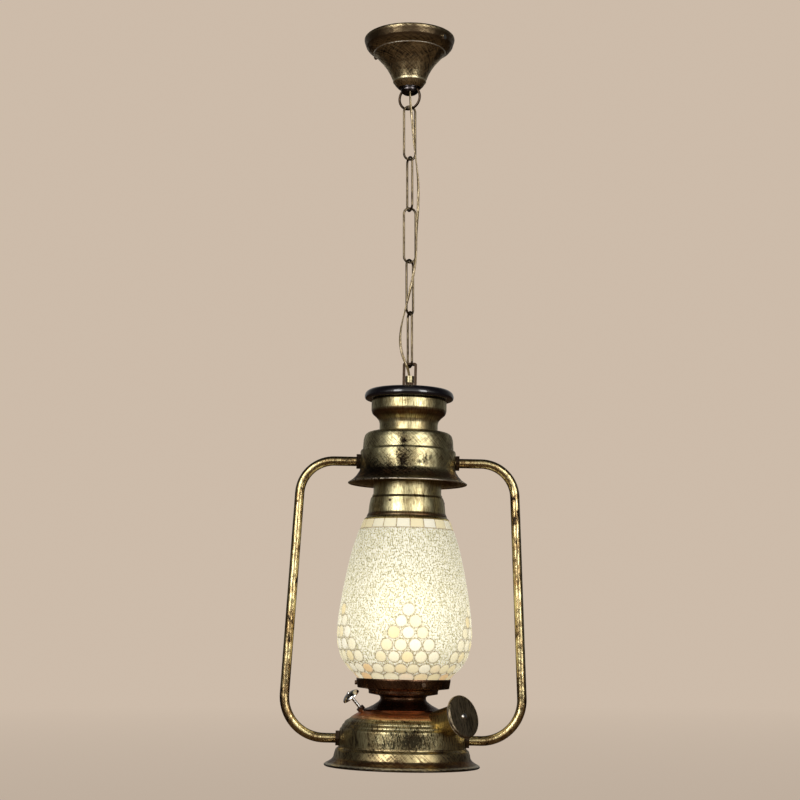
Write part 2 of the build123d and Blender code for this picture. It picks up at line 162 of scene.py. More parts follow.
class Shader(Nodes):
    """A material with one Principled shader, and the patterns used here."""

    def __init__(self, name):
        self.material = bpy.data.materials.new(name)
        self.material.use_nodes = True
        super().__init__(self.material.node_tree)
        self.out = self.node("ShaderNodeOutputMaterial")
        self.bsdf = self.node("ShaderNodeBsdfPrincipled")
        self.link(self.bsdf.outputs[0], self.out.inputs["Surface"])

    def place(self):
        """The piece's own coordinates, in metres."""
        return self.node("ShaderNodeTexCoord").outputs["Object"]

    def height(self):
        """The piece's height in the upright lantern, in millimetres."""
        return self.math("MULTIPLY", self.split(self.place())["Z"], 1 / MM)

    def coords(self, scale=(1, 1, 1), turn=(0, 0, 0)):
        """The piece's own coordinates in millimetres, scaled and turned."""
        mapping = self.node("ShaderNodeMapping")
        self.link(self.place(), mapping.inputs["Vector"])
        mapping.inputs["Scale"].default_value = [part / MM for part in scale]
        mapping.inputs["Rotation"].default_value = turn
        return mapping.outputs[0]

    def turned_coords(self, radius, lean, stretch, offset, slope):
        """Coordinates for strokes that follow a turned piece's profile.

        The strokes lean by lean, in radians to a millimetre, whatever the piece's own radius is.
        A smaller stretch draws them out more. offset, in metres, starts them elsewhere.
        slope is -1 where the piece widens downwards, 1 where it narrows downwards, 0 where it is
        straight.
        """
        place = self.split(self.place())
        flat = self.combine(place["X"], place["Y"])
        way = self.node("ShaderNodeVectorMath", operation="NORMALIZE")
        self.link(flat, way.inputs[0])
        run = self.math("ADD", place["Z"], self.math("MULTIPLY", self.length(flat), slope))
        spin = self.node("ShaderNodeVectorRotate", rotation_type="Z_AXIS")
        self.link(way.outputs[0], spin.inputs["Vector"])
        self.link(self.math("MULTIPLY", run, lean / MM), spin.inputs["Angle"])
        around = self.split(spin.outputs[0])
        return self.combine(
            self.math("MULTIPLY", around["X"], radius),
            self.math("MULTIPLY", around["Y"], radius),
            self.math("MULTIPLY", self.math("ADD", run, offset), stretch / MM),
        )

    def noise(self, place, scale, detail=3.0, rough=0.55, distort=0.0):
        made = self.node("ShaderNodeTexNoise")
        self.link(place, made.inputs["Vector"])
        made.inputs["Scale"].default_value = scale
        made.inputs["Detail"].default_value = detail
        made.inputs["Roughness"].default_value = rough
        made.inputs["Distortion"].default_value = distort
        return made.outputs["Fac"]

    def attribute(self, name):
        return self.node("ShaderNodeAttribute", attribute_name=name).outputs["Fac"]

    def bump(self, height, distance, strength, after=None):
        made = self.node("ShaderNodeBump")
        self.link(height, made.inputs["Height"])
        made.inputs["Distance"].default_value = distance * MM
        made.inputs["Strength"].default_value = strength
        if after is not None:
            self.link(after, made.inputs["Normal"])
        return made.outputs[0]

    def band(self, ragged_height, low, high):
        """1 between two heights and 0 outside them, with soft edges."""
        soft = 0.25 * (high - low)
        above = self.range(ragged_height, low - soft, low + soft)
        below = self.range(ragged_height, high + soft, high - soft)
        return self.math("MULTIPLY", above, below)

    def patch(self, centre, size, share, breakup):
        """A patch round a point of the piece, both in millimetres, as ragged as breakup makes it."""
        mapping = self.node("ShaderNodeMapping")
        self.link(self.place(), mapping.inputs["Vector"])
        mapping.inputs["Scale"].default_value = [1 / (MM * part) for part in size]
        mapping.inputs["Location"].default_value = [-c / part for c, part in zip(centre, size)]
        raggedness = self.math("MULTIPLY", breakup, PATCH_RAGGEDNESS)
        ragged = self.math("SUBTRACT", self.length(mapping.outputs[0]), raggedness)
        return self.range(ragged, -0.15, -0.45, 0.0, share)


# Noise scales of the aged metals, to a millimetre.
STROKE_SCALE = 0.85
THIN_STROKE_SCALE = 1.6
BLOTCH_SCALE = 0.050
SCUFF_SCALE = 0.32
SPECKLE_SCALE = 0.75
DENT_SCALE = 0.09
# Strokes are drawn out along the profile. Thin ones are longer, and lean the other way.
STROKE_STRETCH = 0.10
THIN_RATIO = 0.7
THIN_LEAN = -1.1
# How far a band's edges wander, in millimetres, and how ragged a patch is.
BAND_RAGGEDNESS = 3.0
PATCH_RAGGEDNESS = 1.3


def aged_metal(
    name, bright, warm, dark, *, patina, streaks, seed, twist=0.0, rough=(0.24, 0.55), fine=1.0,
    bands=(), patches=(), clean=0.35, radius=45.0, grain=(1, 1, STROKE_STRETCH), slope=-1.0,
):
    """Brushed metal with slanting strokes, warm tarnish and dark patches of old patina.

    bands are (low, high, colour, share) over the height; some are painted highlights and painted shade.
    patches are (centre, size, share), dark.
    A radius of 0 is for a piece that isn't turned: its strokes follow grain.
    """
    s = Shader(name)
    if radius:
        strokes_at = s.turned_coords(radius, twist, STROKE_STRETCH, seed, slope)
        thin_at = s.turned_coords(
            radius, THIN_LEAN * twist, THIN_RATIO * STROKE_STRETCH, seed, slope
        )
    else:
        strokes_at = s.coords(grain, turn=(0, 0, seed))
        thin_at = s.coords([THIN_RATIO * g if g < 1 else g for g in grain], turn=(0, 0, seed))
    strokes = s.noise(strokes_at, STROKE_SCALE * fine, 4.0, 0.7)
    thin = s.noise(thin_at, THIN_STROKE_SCALE * fine, 3.0, 0.65)
    both = s.weigh(strokes, 0.55, thin, 0.45)
    blotch = s.noise(s.coords((1, 1, 0.8), turn=(seed, 0, seed)), BLOTCH_SCALE, 5.0, 0.62, 0.6)
    scuff = s.noise(s.coords((1, 1, 0.35), turn=(0, seed, 0)), SCUFF_SCALE, 6.0, 0.75, 0.3)

    # Bright metal with warm strokes and warm tarnish.
    colour = s.ramp(both, [(0.38, warm), (0.52, bright), (0.62, bright)])
    tarnish = s.range(blotch, 0.44, 0.64)
    colour = s.mix(s.math("MULTIPLY", tarnish, 0.7), colour, warm)

    # Dark patina, where the surface is worn and in the gaps between strokes.
    worn = s.weigh(blotch, 0.5, scuff, 0.5)
    edge = 0.66 - 0.20 * patina
    worn_dark = s.range(worn, edge, edge + 0.06)
    zone = s.range(blotch, 0.36, 0.58, clean, 1.0)
    stroke_dark = s.math("MULTIPLY", s.range(both, 0.51, 0.44, 0.0, streaks), zone)
    dark_all = s.math("MAXIMUM", worn_dark, stroke_dark)
    colour = s.mix(dark_all, colour, dark)

    # Bands round the piece, some of them painted highlights and painted shade, then stains on top of all.
    wander = s.math("MULTIPLY", s.math("SUBTRACT", scuff, 0.5), BAND_RAGGEDNESS)
    ragged_height = s.math("ADD", s.height(), wander)
    for low, high, shade, share in bands:
        inside = s.band(ragged_height, low, high)
        colour = s.mix(s.math("MULTIPLY", inside, share), colour, shade)
    speckle = s.noise(s.coords((1, 1, 0.6), turn=(seed, 0, 0)), SPECKLE_SCALE, 5.0, 0.8)
    breakup = s.weigh(s.range(speckle, 0.36, 0.64), 0.85, s.range(both, 0.44, 0.56), 1.15)
    for centre, size, share in patches:
        stain = s.patch(centre, size, share, breakup)
        colour = s.mix(stain, colour, [0.4 * part for part in dark])
        dark_all = s.math("MAXIMUM", dark_all, stain)

    s.link(colour, s.bsdf.inputs["Base Color"])
    s.bsdf.inputs["Metallic"].default_value = 1.0
    dullness = s.weigh(dark_all, 0.6, both, 0.4)
    s.link(s.range(dullness, 0.1, 0.8, *rough), s.bsdf.inputs["Roughness"])
    dents = s.noise(s.coords(turn=(0, 0, seed)), DENT_SCALE, 2.0, 0.4)
    normal = s.bump(dents, 1.2, 0.5)
    normal = s.bump(both, 0.2, 0.9, after=normal)
    s.link(normal, s.bsdf.inputs["Normal"])
    return s.material


def plain(name, colour, rough, metallic=0.0, grain=0.35, bump=0.05, coat=0.0, spread=0.25):
    """A simpler finish: one colour that varies a little, with a fine grain."""
    s = Shader(name)
    grains = s.noise(s.coords(), grain, 4.0, 0.6)
    low = [part * (1 - spread) for part in colour]
    high = [min(1.0, part * (1 + spread)) for part in colour]
    s.link(s.ramp(grains, [(0.3, low), (0.7, high)]), s.bsdf.inputs["Base Color"])
    roughness = s.range(grains, 0.3, 0.7, rough * 0.8, min(1.0, rough * 1.2))
    s.link(roughness, s.bsdf.inputs["Roughness"])
    s.bsdf.inputs["Metallic"].default_value = metallic
    s.bsdf.inputs["Coat Weight"].default_value = coat
    s.link(s.bump(grains, bump, 0.6), s.bsdf.inputs["Normal"])
    return s.material


# ---- Mesh helpers ----
def make_object(name, vertices, faces, material, node, sharp=35):
    """A mesh piece in metres, from points in millimetres, that stands for the CAD node."""
    mesh = bpy.data.meshes.new(name)
    mesh.from_pydata([Vector(v) * MM for v in vertices], [], faces)
    mesh.materials.append(material)
    mesh.polygons.foreach_set("use_smooth", [True] * len(mesh.polygons))
    mesh.set_sharp_from_angle(angle=math.radians(sharp))
    mesh.update()
    piece = bpy.data.objects.new(name, mesh)
    bpy.context.scene.collection.objects.link(piece)
    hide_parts(node)
    return piece


def placed(piece, place, body):
    """Puts the piece at place, given in millimetres, and has it ride on the body."""
    moved = place.copy()
    moved.translation *= MM
    piece.matrix_world = moved
    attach(piece, body)


CORNER_STEPS = 5
# A corner's curve takes at most this share of the run on each side of it.
CORNER_SHARE = 0.45


def rounded(points, radius):
    """An outline whose inner corners are cut off by short curves."""
    made = [Vector(points[0])]
    for before, here, after in zip(points, points[1:], points[2:]):
        here = Vector(here)
        back = Vector(before) - here
        on = Vector(after) - here
        start = here + back.normalized() * min(radius, CORNER_SHARE * back.length)
        end = here + on.normalized() * min(radius, CORNER_SHARE * on.length)
        for i in range(CORNER_STEPS + 1):
            t = i / CORNER_STEPS
            made.append((1 - t) ** 2 * start + 2 * t * (1 - t) * here + t * t * end)
    made.append(Vector(points[-1]))
    return made


def wall_outline(points, wall):
    """A closed outline: down the outer points and back up, moved inwards by the wall."""
    inner = []
    last = len(points) - 1
    for i, here in enumerate(points):
        on = points[min(i + 1, last)] - points[max(i - 1, 0)]
        side = Vector((on.y, -on.x)).normalized()
        inner.append(here + side * wall)
    return list(points) + inner[::-1]


def revolve(outline, segments, closed=True):
    """Points and faces of a turned form from an outline of (radius, height)."""
    count = len(outline)
    vertices = []
    for k in range(segments):
        a = 2 * math.pi * k / segments
        c, s = math.cos(a), math.sin(a)
        vertices += [(p[0] * c, p[0] * s, p[1]) for p in outline]
    faces = []
    last = count if closed else count - 1
    for k in range(segments):
        on = (k + 1) % segments
        for i in range(last):
            j = (i + 1) % count
            faces.append((k * count + i, k * count + j, on * count + j, on * count + i))
    return vertices, faces


def lathe(name, points, wall, material, body, node, radius, place=HANG, segments=160):
    """A turned sheet-metal shell with rounded corners."""
    outline = wall_outline(rounded(points, radius), wall)
    vertices, faces = revolve(outline, segments)
    piece = make_object(name, vertices, faces, material, node)
    placed(piece, place, body)


def solid_lathe(name, points, material, body, node, radius, place, segments=96):
    """A full turned form, closed along its axis."""
    outline = rounded(points, radius)
    count = len(outline)
    vertices, faces = revolve(outline, segments, closed=False)
    vertices += [(0, 0, outline[0].y), (0, 0, outline[-1].y)]
    top, bottom = len(vertices) - 2, len(vertices) - 1
    for k in range(segments):
        on = (k + 1) % segments
        faces.append((k * count, on * count, top))
        faces.append((on * count + count - 1, k * count + count - 1, bottom))
    piece = make_object(name, vertices, faces, material, node)
    placed(piece, place, body)


def curve_line(curve):
    """Points along a curve, in its own units. The curve is then removed."""
    holder = bpy.data.objects.new(curve.name, curve)
    mesh = bpy.data.meshes.new_from_object(holder)
    line = np.array([v.co[:] for v in mesh.vertices])
    bpy.data.meshes.remove(mesh)
    bpy.data.objects.remove(holder)
    bpy.data.curves.remove(curve)
    return line


def run_along(line):
    """Distance along the line at each of its points."""
    steps = np.linalg.norm(np.diff(line, axis=0), axis=1)
    return np.concatenate([[0], np.cumsum(steps)])


def along(point, turn, rise):
    """A place at point whose Z axis points out at a turn about Z and a rise above level."""
    spin = Matrix.Rotation(math.radians(turn), 4, "Z")
    return Matrix.Translation(point) @ spin @ Matrix.Rotation(math.radians(90 - rise), 4, "Y")


def paint(material, *names):
    for name in names:
        slots = NODES[name].data.materials
        slots.clear()
        slots.append(material)


# ---- Materials ----
BRASS_PALE = (0.80, 0.72, 0.41)
BRASS_WARM = (0.30, 0.20, 0.075)
PATINA = (0.022, 0.015, 0.010)
RED_BROWN = (0.12, 0.040, 0.016)

hood_brass = aged_metal(
    "hood_brass", BRASS_PALE, BRASS_WARM, PATINA,
    patina=0.42, streaks=0.9, twist=0.022, seed=0.7,
    bands=[
        (-465, -456.5, RED_BROWN, 0.7),
        # Painted highlight along the rim of the flare.
        (-468, -465.6, (0.80, 0.70, 0.58), 0.7),
    ],
    patches=[
        ((-5.5, -47.5, -449), (6.5, 16, 13), 1.0),
        ((-4.5, -45.0, -428), (3.6, 12, 8), 1.0),
        ((-32.0, -36.0, -457), (25, 30, 10), 0.97),
        ((-12.0, -48.0, -456), (26, 40, 3.4), 0.95),
        ((17.0, -45.0, -446), (2.6, 12, 5.5), 0.9),
        ((22.0, -43.0, -444), (1.6, 12, 4.0), 0.8),
        ((11.5, -46.5, -449), (2.4, 12, 1.8), 0.8),
    ],
)
neck_brass = aged_metal(
    "neck_brass", BRASS_PALE, BRASS_WARM, PATINA,
    patina=0.22, streaks=0.55, twist=0.004, seed=2.1, slope=0.0,
    bands=[
        (-401, -394, RED_BROWN, 0.85),
        (-501, -497.5, RED_BROWN, 0.75),
        (-470, -463, BRASS_WARM, 0.7),
    ],
    patches=[((-16, -22, -412), (4, 14, 8), 0.7)],
)
base_brass = aged_metal(
    "base_brass", (0.48, 0.39, 0.20), (0.22, 0.13, 0.055), PATINA,
    patina=0.55, streaks=0.95, twist=0.012, seed=3.3, clean=0.6,
    bands=[
        (-741.4, -736.2, RED_BROWN, 0.55),
        # Painted highlight in a thin pale line along the top of the skirt's lip.
        (-742.6, -741.2, (0.85, 0.78, 0.62), 0.85),
        (-744.0, -742.6, PATINA, 0.95),
    ],
)
dome_brass = aged_metal(
    "dome_brass", (0.78, 0.69, 0.38), (0.30, 0.19, 0.07), PATINA,
    patina=0.42, streaks=1.0, twist=0.003, seed=4.6, clean=0.3,
    bands=[
        # A copper band, brightened as painted light from the globe's glow above it. Below it, a painted
        # highlight in a bright orange line along the ridge.
        (-696.5, -688.0, (0.95, 0.33, 0.11), 0.9),
        (-697.8, -696.2, (1.0, 0.58, 0.28), 0.95),
    ],
    patches=[
        ((12, -62, -719), (26, 9, 13), 0.95),
        ((-44, -44, -719), (16, 30, 12), 0.5),
    ],
)
tube_brass = aged_metal(
    "tube_brass", (0.74, 0.63, 0.33), (0.40, 0.20, 0.06), (0.02, 0.014, 0.010),
    patina=0.66, streaks=0.75, seed=1.4, rough=(0.13, 0.42), radius=0,
)
bronze = aged_metal(
    "bronze", (0.88, 0.73, 0.42), (0.15, 0.095, 0.045), (0.022, 0.014, 0.010),
    patina=0.35, streaks=1.0, twist=0.028, seed=0.3, rough=(0.26, 0.55), fine=0.85, clean=0.9,
    radius=32.0, slope=1.0,
    bands=[
        # Painted highlight round the bead near the bottom.
        (-49.2, -47.0, (0.85, 0.76, 0.50), 0.9),
        # Painted highlight in a thin line along the step.
        (-17.2, -16.3, (0.95, 0.9, 0.75), 1.0),
        # Painted shade in a dark band from just under the lip down to above the step.
        (-13.5, -2.4, (0.13, 0.085, 0.045), 0.88),
    ],
)
gallery_metal = aged_metal(
    "gallery_metal", (0.22, 0.12, 0.065), (0.07, 0.030, 0.018), (0.010, 0.007, 0.006),
    patina=0.4, streaks=0.5, twist=0.02, seed=5.2, rough=(0.22, 0.45),
)
chain_metal = aged_metal(
    "chain_metal", (0.24, 0.185, 0.11), (0.06, 0.040, 0.024), (0.02, 0.014, 0.010),
    patina=0.4, streaks=0.6, seed=1.9, rough=(0.25, 0.45), radius=0,
)
filler_metal = aged_metal(
    "filler_metal", (0.42, 0.33, 0.21), (0.13, 0.10, 0.06), (0.014, 0.010, 0.007),
    patina=0.3, streaks=1.0, seed=2.8, rough=(0.3, 0.5), fine=1.3, clean=0.8,
    radius=0, grain=(0.06, 1, 1),
    # Painted highlight in a pale crescent round the rim of the cap.
    bands=[(79.6, 81.3, (0.85, 0.82, 0.72), 0.95)],
)
filler_tube = aged_metal(
    "filler_tube", (0.60, 0.46, 0.18), (0.30, 0.18, 0.06), PATINA,
    patina=0.4, streaks=0.8, seed=2.2, radius=0,
)
boss_metal = plain("boss_metal", (0.10, 0.088, 0.088), 0.22, metallic=1.0, grain=0.9, spread=0.5)
bushing_brass = plain("bushing_brass", (0.40, 0.34, 0.20), 0.34, metallic=1.0)
nut_metal = plain("nut_metal", (0.085, 0.055, 0.035), 0.4, metallic=1.0, grain=0.9, spread=0.6)
black_gloss = plain("black_gloss", (0.006, 0.005, 0.007), 0.08, grain=0.28, bump=0.4, coat=1.0)
chrome = plain("chrome", (0.72, 0.70, 0.66), 0.14, metallic=1.0)
steel = plain("steel", (0.55, 0.53, 0.50), 0.3, metallic=1.0)
moulding = plain("moulding", (0.05, 0.045, 0.04), 0.5)
rubber = plain("rubber", (0.02, 0.02, 0.02), 0.7)
lead_plastic = plain("lead_plastic", (0.62, 0.48, 0.26), 0.3)


def flex_material():
    """Clear jacket over gold cores."""
    s = Shader("flex")
    wave = s.noise(s.coords((1, 1, 0.5)), 0.9, 2.0)
    gold = s.ramp(wave, [(0.35, (0.14, 0.09, 0.035)), (0.65, (0.42, 0.31, 0.14))])
    s.link(gold, s.bsdf.inputs["Base Color"])
    s.bsdf.inputs["Roughness"].default_value = 0.22
    s.bsdf.inputs["Metallic"].default_value = 0.35
    s.bsdf.inputs["Coat Weight"].default_value = 0.7
    s.bsdf.inputs["Coat Roughness"].default_value = 0.12
    return s.material


# ---- Flex: one piece across each joint that it passes ----
FLEX_ROUTE = [
    (4.0, -2.0, -13.5), (0.3, -6.3, -35.0), (0.3, -6.3, -70.0), (2.6, -6.6, -90.0),
    (4.0, -6.4, -110.0), (6.2, -5.6, -132.0), (9.0, -4.6, -156.0), (8.7, -4.3, -180.0),
    (7.3, -5.2, -204.0), (6.9, -6.5, -228.0), (4.6, -8.9, -250.0), (0.4, -9.7, -270.0),
    (-4.4, -9.4, -290.0), (-8.8, -7.7, -307.0), (-10.2, -6.2, -322.0), (-8.2, -6.8, -336.0),
    (-3.6, -5.6, -346.5), (-0.4, -1.4, -356.0), (0.0, 0.0, -368.0),
]
FLEX_RADIUS = 1.4
FLEX_TWIST = math.radians(2.2)
FLEX_CUTS = [0.0, -66.0, -104.0, -158.0, -212.6, -266.9, -321.2, -400.0]
FLEX_NODES = ["cord_feed"] + [f"cord_link_{n}" for n in range(1, 6)] + ["cord_end"]


def flex_line():
    """Points in millimetres along the route's smooth line, close together."""
    curve = bpy.data.curves.new("flex_route", "CURVE")
    curve.dimensions = "3D"
    curve.resolution_u = 24
    spline = curve.splines.new("NURBS")
    spline.points.add(len(FLEX_ROUTE) - 1)
    for point, place in zip(spline.points, FLEX_ROUTE):
        point.co = (*[x * MM for x in place], 1)
    spline.order_u = 3
    spline.use_endpoint_u = True
    return curve_line(curve) / MM


def twin_section():
    """Outline of two cores side by side in one jacket, as (across, up)."""
    sides = 32
    flatness = 0.62
    made = []
    for k in range(sides):
        a = 2 * math.pi * k / sides
        waist = 0.80 + 0.20 * abs(math.cos(a))
        made.append((FLEX_RADIUS * math.cos(a), flatness * FLEX_RADIUS * math.sin(a) * waist))
    return made


def tube_mesh(line, across, section):
    """A closed tube of this section along the line, with its wide side along across."""
    tangents = np.gradient(line, axis=0)
    tangents /= np.linalg.norm(tangents, axis=1)[:, None]
    vertices = []
    for point, tangent, side in zip(line, tangents, across):
        side = side - tangent * (side @ tangent)
        side /= np.linalg.norm(side)
        up = np.cross(tangent, side)
        vertices += [tuple(point + side * x + up * y) for x, y in section]
    count = len(section)
    faces = []
    for i in range(len(line) - 1):
        for k in range(count):
            j = (k + 1) % count
            faces.append((i * count + k, i * count + j, (i + 1) * count + j, (i + 1) * count + k))
    start = (len(line) - 1) * count
    faces.append(tuple(range(count - 1, -1, -1)))
    faces.append(tuple(start + k for k in range(count)))
    return vertices, faces


def make_flex(material):
    line = flex_line()
    turn = FLEX_TWIST * run_along(line)
    across = np.stack([np.cos(turn), np.sin(turn), 0 * turn], axis=1)
    section = twin_section()
    for k, node in enumerate(FLEX_NODES):
        inside = [i for i in range(len(line)) if FLEX_CUTS[k + 1] <= line[i][2] <= FLEX_CUTS[k]]
        first = inside[0]
        # Each piece runs on to the next one's first point, so no gap shows between them.
        last = min(inside[-1] + 1, len(line) - 1)
        part = line[first:last + 1]
        vertices, faces = tube_mesh(part, across[first:last + 1], section)
        piece = make_object(f"flex_{k + 1}", vertices, faces, material, node, 60)
        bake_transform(piece)


# ---- Turned sheet-metal pieces, each in the shape of its CAD node ----
def make_canopy():
    bell = [
        (44.8, -0.25), (45.9, -0.6), (46.8, -1.6), (47.0, -2.8), (46.8, -4.2), (46.1, -6.2),
        (44.9, -10.0), (42.2, -13.4), (38.6, -15.7), (37.2, -16.4), (36.9, -17.3),
        (35.2, -18.6), (32.0, -22.4), (28.2, -26.6), (23.7, -32.8), (19.9, -39.8),
        (17.4, -46.0), (17.1, -47.2), (17.25, -48.0), (16.8, -48.8), (16.1, -49.3),
        (14.6, -51.8), (11.9, -54.6),
    ]
    lathe("canopy_bell", bell, 1.0, bronze, "ceiling", "canopy", 0.7, UPRIGHT, 192)


def make_top():
    cap = [
        (3.25, -372.0), (36.0, -372.0), (40.8, -372.8), (44.0, -375.2), (45.2, -378.9),
        (44.6, -381.4), (43.4, -382.3), (35.0, -382.3),
    ]
    lathe("cap_plate", cap, 1.2, black_gloss, "lantern", "top_cap", 1.6)
    stack = [
        (3.25, -382.35), (36.4, -382.35), (37.9, -383.6), (37.9, -393.4), (36.8, -396.8),
        (32.6, -400.4), (30.2, -403.4), (29.3, -407.0), (29.3, -419.0),
    ]
    lathe("chimney_shell", stack, 0.9, neck_brass, "lantern", "chimney", 1.3)
    shell = [
        (29.35, -414.8), (36.8, -415.2), (41.4, -416.6), (43.7, -418.8), (44.9, -423.0),
        (45.7, -433.4), (47.3, -434.2), (47.9, -435.6), (47.9, -453.4), (48.8, -455.6),
        (51.2, -459.4), (54.6, -463.2), (58.6, -465.9), (59.75, -466.5), (59.8, -467.3),
        (59.0, -467.8), (58.0, -467.4),
    ]
    lathe("hood_shell", shell, 0.9, hood_brass, "lantern", "hood", 1.0, HANG, 224)
    neck = [(34.0, -454.0), (34.0, -491.0)]
    lathe("neck_ring", neck, 0.9, neck_brass, "lantern", "lower_neck", 0.2)
    collar = [
        (34.95, -478.8), (34.95, -480.2), (36.5, -482.4), (37.7, -488.4), (38.6, -496.8),
        (39.6, -498.8), (40.1, -499.7), (39.9, -500.4), (40.4, -501.0), (42.4, -503.2),
    ]
    lathe("collar_ring", collar, 0.9, neck_brass, "lantern", "globe_collar", 0.6)


def make_base():
    cup = [
        (46.4, -659.6), (46.5, -661.0), (45.2, -668.9), (34.9, -670.2), (34.3, -671.0),
        (34.1, -674.4), (24.0, -676.2), (22.5, -677.4), (22.5, -679.4),
    ]
    lathe("gallery_cup", cup, 1.0, gallery_metal, "lantern", "gallery", 0.7)
    cone = [(22.5, -679.5), (23.6, -681.6), (28.6, -685.2), (33.8, -687.9), (38.6, -689.6)]
    lathe("cone_shell", cone, 0.9, gallery_metal, "lantern", "burner_cone", 1.2)


TUBE_END_Z = -718.4
NUT_NOTCH = 8.7


def make_skirt():
    skirt = [
        (62.75, -724.6), (62.75, -726.4), (65.4, -728.4), (66.4, -732.0), (67.3, -736.0),
        (69.2, -738.4), (72.4, -740.6), (75.0, -741.8), (76.4, -742.9), (76.4, -744.0),
        (75.4, -744.7), (74.2, -744.4),
    ]
    outline = wall_outline(rounded(skirt, 0.9), 0.9)
    vertices, faces = revolve(outline, 288)
    # The top edge dips in a round notch below the nut at each tube's end.
    notched = []
    for x, y, z in vertices:
        if abs(y) < NUT_NOTCH:
            z = min(z, TUBE_END_Z - math.sqrt(NUT_NOTCH**2 - y**2))
        notched.append((x, y, z))
    piece = make_object("skirt_shell", notched, faces, base_brass, "base_skirt")
    placed(piece, HANG, "lantern")


# ---- Globe ----
GLOBE_OUTLINE = [
    (43.3, -504.4), (48.2, -518.0), (52.5, -531.4), (58.1, -556.0), (63.4, -586.5),
    (66.1, -612.0), (65.2, -627.8), (61.4, -639.8), (53.6, -650.8), (46.8, -656.8),
    (43.5, -661.6), (43.0, -667.6),
]
GLOBE_WALL = 3.0
GLOBE_COLUMNS = 720
GLOBE_ROWS = 300
GLOBE_INNER_ROWS = 60
BULB_Z = -600.0
# Round tiles stand in peaks. The first peak's middle is a little to the right of the front.
TILE_RADIUS = 5.7
PEAKS = 5
FRONT = -90.0 + 3.0
# The lowest round tiles are wider than they are high.
WIDE_BELOW = -655
WIDE_TILE = 1.25
# Some tiles below this height are stained amber.
STAIN_BELOW = -643
STAINED_SHARE = 0.4
# A ring of square tiles runs round the top.
TOP_TILES = 21
TOP_TILE_WIDTH = 13.0
TOP_TILE_LOW = -513.4
TOP_GROUT_LOW = -514.2
GROUT_BELOW = -661.0
# Beads: from one to the next in a row, and from row to row as a share of that.
BEAD_PITCH = 1.85
BEAD_ROW_STEP = 0.87


def smooth_outline(points, count):
    """An even run of points along a smooth curve through the outline's points."""
    curve = bpy.data.curves.new("outline", "CURVE")
    curve.dimensions = "3D"
    curve.resolution_u = 32
    spline = curve.splines.new("BEZIER")
    spline.bezier_points.add(len(points) - 1)
    for point, (radius, height) in zip(spline.bezier_points, points):
        point.co = (radius, 0, height)
        point.handle_left_type = "AUTO"
        point.handle_right_type = "AUTO"
    line = curve_line(curve)[:, [0, 2]]
    run = run_along(line)
    spots = np.linspace(0, run[-1], count)
    return np.stack([np.interp(spots, run, line[:, k]) for k in range(2)], axis=1)


def outline_run(line):
    """Distance along an outline of evenly spaced points, at each of them."""
    steps = np.hypot(np.gradient(line[:, 0]), np.gradient(line[:, 1]))
    return np.concatenate([[0], np.cumsum(steps[1:])])


def outwards(line):
    """The way out of the outline, at each of its points, for one that runs downwards."""
    way = np.gradient(line, axis=0)
    way /= np.linalg.norm(way, axis=1)[:, None]
    return np.stack([-way[:, 1], way[:, 0]], axis=1)


def tile_places():
    """Middles of the round tiles as (turn in degrees, height), peaks first, then full rings."""
    places = []
    for peak in range(PEAKS):
        middle = FRONT + 360 / PEAKS * peak
        for row, height in enumerate((-593.1, -604.0, -614.8, -626.6, -637.9)):
            places += [(middle - 6 * row + 12 * k, height) for k in range(row + 1)]
    places += [(FRONT + 6 + 12 * k, -649.2) for k in range(30)]
    places += [(FRONT + 18 * k, -657.4) for k in range(20)]
    return places


def globe_marks(turns, line):
    """Lift, tile, tint, grout and amber of every point of the globe's outer face."""
    random = np.random.default_rng(7)
    radius = line[:, 0][None, :]
    height = line[:, 1][None, :]
    angle = np.radians(turns)[:, None]
    run = outline_run(line)
    nearest = np.full((len(turns), len(line)), 99.0)
    tint = np.zeros_like(nearest)
    amber = np.zeros_like(nearest)
    for turn, level in tile_places():
        shade = random.random()
        stain = 0.0
        if level < STAIN_BELOW and random.random() < STAINED_SHARE:
            stain = random.random()
        run_here = np.interp(-level, -line[:, 1], run)
        around = (angle - math.radians(turn) + math.pi) % (2 * math.pi) - math.pi
        size = TILE_RADIUS * (0.94 + 0.1 * random.random())
        wide = 1.0 if level > WIDE_BELOW else WIDE_TILE
        ratio = np.hypot(around * radius / wide, run[None, :] - run_here) / size
        closer = ratio < nearest
        nearest = np.where(closer, ratio, nearest)
        tint = np.where(closer, shade, tint)
        amber = np.where(closer, stain, amber)
    tile = np.clip((1.0 - nearest) / 0.10, 0, 1)
    grout = np.exp(-((nearest - 1.08) / 0.10) ** 2)
    swell = np.clip(1 - nearest**2, 0, 1) ** 0.5

    # The ring of square tiles takes over at the top.
    cell = angle * TOP_TILES / (2 * math.pi)
    top_shade = random.random(TOP_TILES)[np.floor(cell).astype(int) % TOP_TILES]
    top_edge = (0.5 - np.abs(cell % 1.0 - 0.5)) * TOP_TILE_WIDTH
    top_low = height - TOP_TILE_LOW
    top = np.clip(np.minimum(top_edge, top_low) / 0.7, 0, 1)
    tile = np.maximum(tile, top)
    tint = np.where(top > 0, top_shade, tint)
    amber = np.where(top > 0, 0.0, amber)
    seam = np.exp(-(np.minimum(top_edge, np.abs(top_low)) / 0.5) ** 2)
    grout = np.where(height > TOP_GROUT_LOW, seam, grout)
    grout = np.clip(grout + np.clip((GROUT_BELOW - height) / 2, 0, 1) * 0.3, 0, 1)
    lift = 0.75 * swell + 0.35 * top - 0.35 * grout
    return lift, tile, tint, grout, amber


